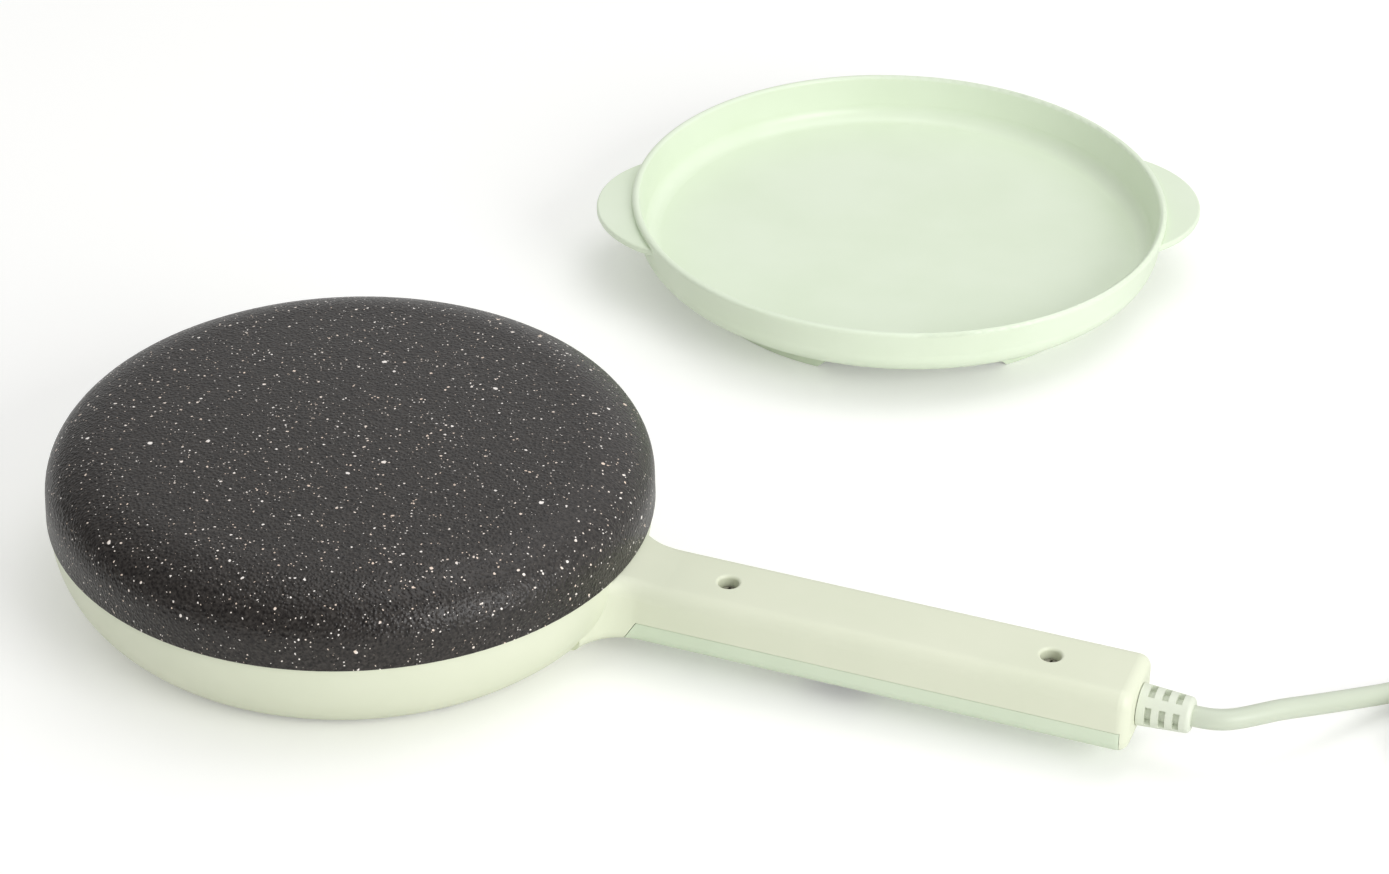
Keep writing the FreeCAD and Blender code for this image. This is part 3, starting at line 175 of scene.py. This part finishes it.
def finished_material(name, colours, tone, roughness, grain, shader_values):
    """A material whose colour, roughness and grain each follow a noise pattern.

    A pattern starts with the distance between its lumps in mm and its detail. In tone the two
    values after that are where the pattern turns the first colour into the second, in roughness
    its least and most, and in grain its depth in mm.
    """
    material, tree, shader, place = new_material(name, shader_values)
    patterns = [pattern for pattern in (tone, roughness, grain) if pattern]
    noises = [add(tree, "ShaderNodeTexNoise", {"Scale": 1 / (apart_mm * MM), "Detail": detail},
                  {"Vector": place}).outputs[0] for apart_mm, detail, *_ in patterns]
    share = add(tree, "ShaderNodeMapRange", {"From Min": tone[2], "From Max": tone[3]},
                {"Value": noises[0]}).outputs[0]
    colour = add(tree, "ShaderNodeMix", {6: linear(colours[0]), 7: linear(colours[1])}, {0: share},
                 data_type="RGBA").outputs[2]
    gloss = add(tree, "ShaderNodeMapRange",
                {"From Min": NOISE_SPAN[0], "From Max": NOISE_SPAN[1], "To Min": roughness[2],
                 "To Max": roughness[3]}, {"Value": noises[1]}).outputs[0]
    tree.links.new(colour, shader.inputs["Base Color"])
    tree.links.new(gloss, shader.inputs["Roughness"])
    if grain:
        relief = add(tree, "ShaderNodeBump", {"Distance": grain[2] * MM}, {"Height": noises[2]})
        tree.links.new(relief.outputs[0], shader.inputs["Normal"])
    return material


def moulded_plastic(name, colours, roughness, grain_mm=0.35, grain_depth_mm=0.004):
    """Injection-moulded plastic: an even colour, a faint flow cloud and a fine satin grain.

    The tool's own grain is near 0.05 mm; it is drawn coarser, so that it shows.
    """
    return finished_material(name, colours, (38, 3, 0.35, 0.65),
                             (9, 2, roughness - 0.04, roughness + 0.04),
                             (grain_mm, 3, grain_depth_mm), {"IOR": 1.5})


def marked_metal(name, colours, roughness, marks_mm=0.25):
    """Bare or plated metal: fine tool marks that break the highlight, and a little tarnish."""
    return finished_material(name, colours, (3.5, 4, 0.35, 0.7),
                             (marks_mm, 3, roughness - 0.08, roughness + 0.1),
                             (marks_mm, 3, 0.006), {"Metallic": 1.0})


def dull_rubber(name, colours, roughness):
    """Moulded silicone: dull, with the dusty uneven tone that it picks up."""
    return finished_material(name, colours, (2.2, 4, *NOISE_SPAN),
                             (2.2, 4, roughness - 0.06, roughness + 0.06),
                             (0.3, 2, 0.008), {"IOR": 1.45})


def specks(tree, place, cell_mm, radius_mm, soft_mm, spread_mm, amount):
    """Where the specks of one size lie: dots in a share of the cells of a scattered grid."""
    cells = add(tree, "ShaderNodeTexVoronoi", {"Scale": 1 / (cell_mm * MM)}, {"Vector": place})
    chance = add(tree, "ShaderNodeSeparateColor", links={0: cells.outputs["Color"]})
    chosen = add(tree, "ShaderNodeMath", {1: amount}, {0: chance.outputs[0]},
                 operation="LESS_THAN")
    radius = add(tree, "ShaderNodeMapRange",
                 {"To Min": (radius_mm - spread_mm) / cell_mm,
                  "To Max": (radius_mm + spread_mm) / cell_mm}, {"Value": chance.outputs[1]})
    inside = add(tree, "ShaderNodeMath",
                 links={0: radius.outputs[0], 1: cells.outputs["Distance"]}, operation="SUBTRACT")
    edge = add(tree, "ShaderNodeMapRange", {"From Max": soft_mm / cell_mm},
               {"Value": inside.outputs[0]}, interpolation_type="SMOOTHSTEP")
    return add(tree, "ShaderNodeMath", links={0: edge.outputs[0], 1: chosen.outputs[0]},
               operation="MULTIPLY").outputs[0]


def speckled_nonstick():
    """Nonstick coating sprayed on cast aluminium: pebbled semi-gloss charcoal, cream specks."""
    material, tree, shader, place = new_material("speckled_nonstick", {"IOR": 1.42})
    shake, warmth, mottle, grain = (
        add(tree, "ShaderNodeTexNoise", {"Scale": 1 / (apart_mm * MM), "Detail": detail},
            {"Vector": place}) for apart_mm, detail in COATING_NOISES)
    # the specks' own place is shaken a little, so that they aren't round
    offset = add(tree, "ShaderNodeVectorMath", {1: (0.5, 0.5, 0.5)}, {0: shake.outputs["Color"]},
                 operation="SUBTRACT")
    shaken = add(tree, "ShaderNodeVectorMath", {1: (SPECK_SHAKE, SPECK_SHAKE, SPECK_SHAKE)},
                 {0: offset.outputs[0], 2: place}, operation="MULTIPLY_ADD").outputs[0]
    covered, *others = [specks(tree, shaken, *size) for size in SPECK_SIZES]
    for other in others:
        covered = add(tree, "ShaderNodeMath", links={0: covered, 1: other},
                      operation="MAXIMUM").outputs[0]
    warm = add(tree, "ShaderNodeMapRange", {"From Min": 0.42, "From Max": 0.62},
               {"Value": warmth.outputs[0]})
    cream = add(tree, "ShaderNodeMix", {6: linear("#FBF5EF"), 7: linear("#EBD6C4")},
                {0: warm.outputs[0]}, data_type="RGBA")
    pale = add(tree, "ShaderNodeMapRange", {"From Min": 0.32, "From Max": 0.68},
               {"Value": mottle.outputs[0]})
    charcoal = add(tree, "ShaderNodeMix", {6: linear("#1A1716"), 7: linear("#3C3835")},
                   {0: pale.outputs[0]}, data_type="RGBA")
    colour = add(tree, "ShaderNodeMix",
                 links={0: covered, 6: charcoal.outputs[2], 7: cream.outputs[2]},
                 data_type="RGBA")
    gloss = add(tree, "ShaderNodeMapRange",
                {"From Min": NOISE_SPAN[0], "From Max": NOISE_SPAN[1], "To Min": 0.28,
                 "To Max": 0.38}, {"Value": mottle.outputs[0]})
    pebbles = add(tree, "ShaderNodeTexVoronoi",
                  {"Scale": 1 / PEBBLE_APART, "Smoothness": PEBBLE_SOFTNESS}, {"Vector": place},
                  feature="SMOOTH_F1")
    rounded = add(tree, "ShaderNodeMapRange",
                  {"From Max": PEBBLE_REACH, "To Min": 1.0, "To Max": 0.0},
                  {"Value": pebbles.outputs["Distance"]}, interpolation_type="SMOOTHSTEP")
    grained = add(tree, "ShaderNodeBump", {"Distance": COATING_GRAIN_DEPTH},
                  {"Height": grain.outputs[0]})
    pebbled = add(tree, "ShaderNodeBump", {"Distance": PEBBLE_DEPTH},
                  {"Height": rounded.outputs[0], "Normal": grained.outputs[0]})
    tree.links.new(colour.outputs[2], shader.inputs["Base Color"])
    tree.links.new(gloss.outputs[0], shader.inputs["Roughness"])
    tree.links.new(pebbled.outputs[0], shader.inputs["Normal"])
    return material


def make_camera():
    data = bpy.data.cameras.new("photo_camera")
    data.sensor_width = SENSOR_WIDTH
    data.lens = CAMERA_LENS
    data.clip_start = CAMERA_NEAR
    data.clip_end = CAMERA_FAR
    camera = bpy.data.objects.new("photo_camera", data)
    turn = Matrix.Rotation(math.radians(CAMERA_AZIMUTH), 4, "Z")
    tilt = Matrix.Rotation(math.radians(90 - CAMERA_ELEVATION), 4, "X")
    roll = Matrix.Rotation(math.radians(CAMERA_ROLL), 4, "Z")
    camera.matrix_world = Matrix.Translation(CAMERA_PLACE) @ turn @ tilt @ roll
    bpy.context.scene.collection.objects.link(camera)
    bpy.context.scene.camera = camera


def coil_points():
    """The put-away coil: inwards, up one layer, outwards again, and straight to the plug."""
    start = Vector(CORD_ROUTE[-1])
    heading = (start - Vector(CORD_ROUTE[-2])).normalized()
    spoke = Vector((-heading.y, heading.x, 0)) * COIL_RADIUS
    centre = start + heading * CORD_DIAMETER - spoke
    start_angle = math.atan2(spoke.y, spoke.x)
    climb_start = (COIL_TURNS - COIL_CLIMB) / 2
    swell = 1 / math.cos(math.pi / COIL_POINTS)     # a spline runs inside its points
    points = []
    for index in range(round(COIL_TURNS * COIL_POINTS) + 1):
        turns = index / COIL_POINTS
        radius = (COIL_RADIUS - COIL_PITCH * min(turns, COIL_TURNS - turns)) * swell
        angle = start_angle - math.tau * turns
        climb = min(max((turns - climb_start) / COIL_CLIMB, 0), 1)
        height = COIL_LAYER * climb * climb * (3 - 2 * climb)
        points.append(centre + Vector((radius * math.cos(angle), radius * math.sin(angle),
                                       height)))
    end_angle = start_angle - math.tau * COIL_TURNS
    away = Vector((math.sin(end_angle), -math.cos(end_angle), 0))
    last = centre + Vector((math.cos(end_angle), math.sin(end_angle), 0)) * COIL_RADIUS
    last.z = points[-1].z
    points[-1] = last
    points += [last + away * COIL_TAIL * step / TAIL_POINTS for step in range(1, TAIL_POINTS + 1)]
    return points


def make_cord(material):
    """The free cord as one smooth line, from the strain relief through the coil to the plug."""
    points = [Vector(point) for point in CORD_ROUTE] + coil_points()
    data = bpy.data.curves.new("mains_cord", "CURVE")
    data.dimensions = "3D"
    data.bevel_depth = CORD_DIAMETER / 2
    data.bevel_resolution = CORD_ROUNDNESS
    data.resolution_u = CORD_STEPS
    data.use_fill_caps = True
    spline = data.splines.new("NURBS")
    spline.points.add(len(points) - 1)
    for place, point in zip(spline.points, points):
        place.co = (*point, 1.0)
    spline.order_u = 3
    spline.use_endpoint_u = True
    spline.use_smooth = True
    cord = bpy.data.objects.new("mains_cord", data)
    bpy.context.scene.collection.objects.link(cord)
    data.materials.append(material)
    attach(cord, "pan")
    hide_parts("power_cord", "power_cord_coil")


def dress(material, *names):
    """Give CAD nodes a material of their own in place of the one they came with."""
    for name in names:
        slots = cad[name].data.materials
        slots.clear()
        slots.append(material)


def dress_housing():
    """Finishes of what the photograph shows, but for the free cord."""
    # ABS from a lightly textured tool: a warm pale sage whose soft satin spreads each highlight
    dress(moulded_plastic("satin_sage_abs", ("#E1E5CE", "#DDE2CA"), 0.42), "body_shell")
    # the same ABS coloured a little greener
    dress(moulded_plastic("satin_mint_abs", ("#D8E4CC", "#D3E0C7"), 0.42), "handle_cover")
    # polypropylene: slightly waxy, so a little glossier and fresher than the housing
    dress(moulded_plastic("satin_mint_polypropylene", ("#E5F0DA", "#E1EDD5"), 0.34),
          "batter_dish")
    # flexible PVC of the strain relief: duller than the hard plastics
    dress(moulded_plastic("soft_mint_pvc", ("#DCE2D1", "#D7DDCB"), 0.46), "strain_relief")
    dress(speckled_nonstick(), "heating_plate")
    # zinc-plated steel, its colour darkened: painted shade of the bottom of its deep recess
    dress(marked_metal("zinc_plated_steel", ("#A6A39C", "#86837C"), 0.36), "handle_screws")


def dress_underside():
    """Finishes of the switch, the lamp, the feet and the plug."""
    # nylon from a polished tool: near black, with a clear highlight
    dress(moulded_plastic("black_gloss_nylon", ("#151515", "#101010"), 0.3, grain_mm=0.5),
          "switch_body", "switch_rocker")
    # clear amber polycarbonate: it glows where light passes through it
    dress(finished_material("clear_amber_polycarbonate", ("#E0701E", "#C85A12"), (2.0, 2, 0, 1),
                            (2.0, 2, 0.12, 0.2), None,
                            {"IOR": 1.58, "Transmission Weight": 0.75}), "lamp_lens")
    # glass tube of the lamp: clear, with the warm tone of the electrodes in it
    dress(finished_material("soda_glass_tube", ("#F2E6D6", "#D9C2A6"), (1.5, 2, 0, 1),
                            (1.5, 2, 0.06, 0.12), None,
                            {"IOR": 1.51, "Transmission Weight": 0.6}), "pilot_lamp")
    # grey-black silicone: no highlight to speak of
    dress(dull_rubber("dark_silicone_rubber", ("#2A2A28", "#343431"), 0.7),
          "rim_gasket", "base_feet")
    # PVC moulded on the plug in a coarser tool, so that fingers hold it
    dress(moulded_plastic("moulded_mint_pvc", ("#D3DECA", "#CED9C4"), 0.44, grain_mm=0.5,
                          grain_depth_mm=0.012), "plug_body")
    # nickel-plated brass: bright and a little warm
    dress(marked_metal("nickel_plated_brass", ("#D2CFC6", "#C2BEB2"), 0.22), "plug_pins")
    # steel with a dark zinc plating
    dress(marked_metal("dark_zinc_steel", ("#6E6C68", "#55534F"), 0.38),
          "plate_screws", "thermostat_screws", "tag_screws", "clamp_screws")


def dress_inside():
    """Finishes of the pieces that the housing hides."""
    # the cord's jacket, as on its free part
    dress(moulded_plastic("cord_jacket_pvc", ("#D3DECA", "#CED9C4"), 0.45), "cord_inner")
    # filled nylon: dull black
    dress(moulded_plastic("black_nylon", ("#2A2A2A", "#232323"), 0.5), "cord_clamp")
    # pressed phenolic resin: dark brown, faintly glossy
    dress(moulded_plastic("phenolic_resin", ("#2C2119", "#241A13"), 0.4), "thermostat")
    # silicone sleeves in the usual colours of live, neutral and earth: evenly dull
    dress(dull_rubber("brown_silicone_sleeve", ("#5A3A22", "#4E311C"), 0.55),
          "live_wire", "switched_wire", "thermostat_lead")
    dress(dull_rubber("blue_silicone_sleeve", ("#2C4F8C", "#27467D"), 0.55),
          "neutral_wire", "fuse_lead")
    dress(dull_rubber("green_silicone_sleeve", ("#4E8A2C", "#437A25"), 0.55), "earth_wire")
    # galvanised sheet: pale grey, uneven over a millimetre or so
    dress(marked_metal("galvanised_sheet_steel", ("#B9B9B6", "#A3A3A0"), 0.35, marks_mm=1.2),
          "heat_shield", "thermostat_bracket", "fuse_clip")
    # steel sheath of the element, browned by heat
    dress(marked_metal("heat_tinted_sheath", ("#8C8780", "#6D6255"), 0.45, marks_mm=0.6),
          "heater_element")
    # tinned metal: pale and softly bright
    dress(marked_metal("bare_tinned_metal", ("#C9C7C2", "#B3B1AC"), 0.3), "thermal_fuse")
    # stamped brass: yellow, with darker patches
    dress(marked_metal("plain_brass", ("#C9A869", "#B08F52"), 0.3),
          "element_terminals", "earth_tag", "switch_terminals")


def rocker_face(side):
    """Where a mark sits: on the face at one end of the rocker, with its z axis off that face."""
    pivot = Matrix.Translation(ROCKER_PIVOT) @ Matrix.Rotation(math.radians(-ROCKER_TILT), 4, "Y")
    fall = ROCKER_MIDDLE - ROCKER_EDGE
    middle = Matrix.Translation((side * ROCKER_HALF * MARK_PLACE, 0,
                                 fall * MARK_PLACE - ROCKER_MIDDLE))
    return pivot @ middle @ Matrix.Rotation(-side * math.atan2(fall, ROCKER_HALF), 4, "Y")


def make_rocker_marks():
    """Raised ring on the one end of the rocker and raised bar on the other."""
    shape = bmesh.new()
    inner, outer = RING_RADII
    verts = [shape.verts.new((x, 0, z)) for x, z in
             ((inner, -RING_SUNK), (outer, -RING_SUNK), (outer, RING_PROUD), (inner, RING_PROUD))]
    edges = [shape.edges.new((verts[i - 1], verts[i])) for i in range(4)]
    bmesh.ops.spin(shape, geom=verts + edges, cent=(0, 0, 0), axis=(0, 0, 1), angle=math.tau,
                   steps=RING_STEPS, use_merge=True)
    bmesh.ops.transform(shape, matrix=rocker_face(-1), verts=shape.verts)
    box = bmesh.ops.create_cube(shape, size=1.0)["verts"]
    bmesh.ops.scale(shape, vec=BAR_SIZE, verts=box)
    edges = list({edge for vert in box for edge in vert.link_edges})
    bar = bmesh.ops.bevel(shape, geom=edges, offset=BAR_ROUNDING, segments=3, profile=0.5,
                          affect="EDGES", material=-1)["verts"]
    bmesh.ops.transform(shape, matrix=rocker_face(1), verts=bar)
    bmesh.ops.recalc_face_normals(shape, faces=shape.faces)
    mesh = bpy.data.meshes.new("rocker_marks")
    shape.to_mesh(mesh)
    shape.free()
    # white ink rolled on the raised marks: dull and faintly uneven
    mesh.materials.append(moulded_plastic("white_print_ink", ("#E9E9E4", "#DEDED8"), 0.5))
    marks = bpy.data.objects.new("rocker_marks", mesh)
    bpy.context.scene.collection.objects.link(marks)
    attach(marks, "rocker")


def make_floor():
    """Pale floor that keeps the object's shadow and otherwise shows white."""
    mesh = bpy.data.meshes.new("floor")
    shape = bmesh.new()
    bmesh.ops.create_grid(shape, x_segments=1, y_segments=1, size=FLOOR_HALF)
    shape.to_mesh(mesh)
    shape.free()
    floor = bpy.data.objects.new("floor", mesh)
    floor.location.z = -FLOOR_DROP
    bpy.context.scene.collection.objects.link(floor)
    material = bpy.data.materials.new("matte_white_paper")
    material.use_nodes = True
    tree = material.node_tree
    tree.nodes.clear()
    path = add(tree, "ShaderNodeLightPath")
    paper = add(tree, "ShaderNodeBsdfDiffuse", {"Color": linear("#F4F4F2")})
    lift = add(tree, "ShaderNodeEmission", {"Color": WHITE, "Strength": FLOOR_LIFT})
    nothing = add(tree, "ShaderNodeBsdfDiffuse", {"Color": BLACK})
    seen = add(tree, "ShaderNodeMixShader",
               links={0: path.outputs["Is Camera Ray"], 1: nothing.outputs[0],
                      2: lift.outputs[0]})
    both = add(tree, "ShaderNodeAddShader", links={0: paper.outputs[0], 1: seen.outputs[0]})
    add(tree, "ShaderNodeOutputMaterial", links={"Surface": both.outputs[0]})
    mesh.materials.append(material)


def make_lights():
    """White background, an even dome with a bright wall for reflections, and two softboxes."""
    world = bpy.data.worlds.new("studio")
    world.use_nodes = True
    bpy.context.scene.world = world
    tree = world.node_tree
    tree.nodes.clear()
    path = add(tree, "ShaderNodeLightPath")
    direct = add(tree, "ShaderNodeMath",
                 links={0: path.outputs["Is Camera Ray"], 1: path.outputs["Is Transmission Ray"]},
                 operation="MAXIMUM")
    white = add(tree, "ShaderNodeBackground", {"Color": WHITE, "Strength": 1.0})
    dome = add(tree, "ShaderNodeBackground", {"Color": WHITE, "Strength": DOME_STRENGTH})
    way = add(tree, "ShaderNodeTexCoord").outputs["Generated"]
    toward = add(tree, "ShaderNodeVectorMath", {1: BRIGHT_SIDE}, {0: way},
                 operation="DOT_PRODUCT").outputs["Value"]
    wall = add(tree, "ShaderNodeMapRange",
               {"From Min": ROOM_SPAN[0], "From Max": ROOM_SPAN[1], "To Min": ROOM_STRENGTHS[0],
                "To Max": ROOM_STRENGTHS[1]}, {"Value": toward})
    room = add(tree, "ShaderNodeBackground", {"Color": WHITE}, {"Strength": wall.outputs[0]})
    indirect = add(tree, "ShaderNodeMixShader",
                   links={0: path.outputs["Is Glossy Ray"], 1: dome.outputs[0],
                          2: room.outputs[0]})
    mixed = add(tree, "ShaderNodeMixShader",
                links={0: direct.outputs[0], 1: indirect.outputs[0], 2: white.outputs[0]})
    add(tree, "ShaderNodeOutputWorld", links={"Surface": mixed.outputs[0]})
    for name, place, width, power in SOFTBOXES:
        data = bpy.data.lights.new(name, "AREA")
        data.shape = "SQUARE"
        data.size = width
        data.energy = power
        lamp = bpy.data.objects.new(name, data)
        lamp.location = place
        aim = Vector(LIGHT_AIM) - Vector(place)
        lamp.rotation_euler = aim.to_track_quat("-Z", "Y").to_euler()
        bpy.context.scene.collection.objects.link(lamp)


bpy.context.scene.view_settings.view_transform = "Standard"
make_camera()
# flexible PVC jacket of the cord: a little greyer than the housing, with a low soft sheen
make_cord(moulded_plastic("flexible_mint_pvc", ("#C9D1BE", "#C5CDBA"), 0.4, grain_mm=0.6))
dress_housing()
dress_underside()
dress_inside()
make_rocker_marks()
make_floor()
make_lights()
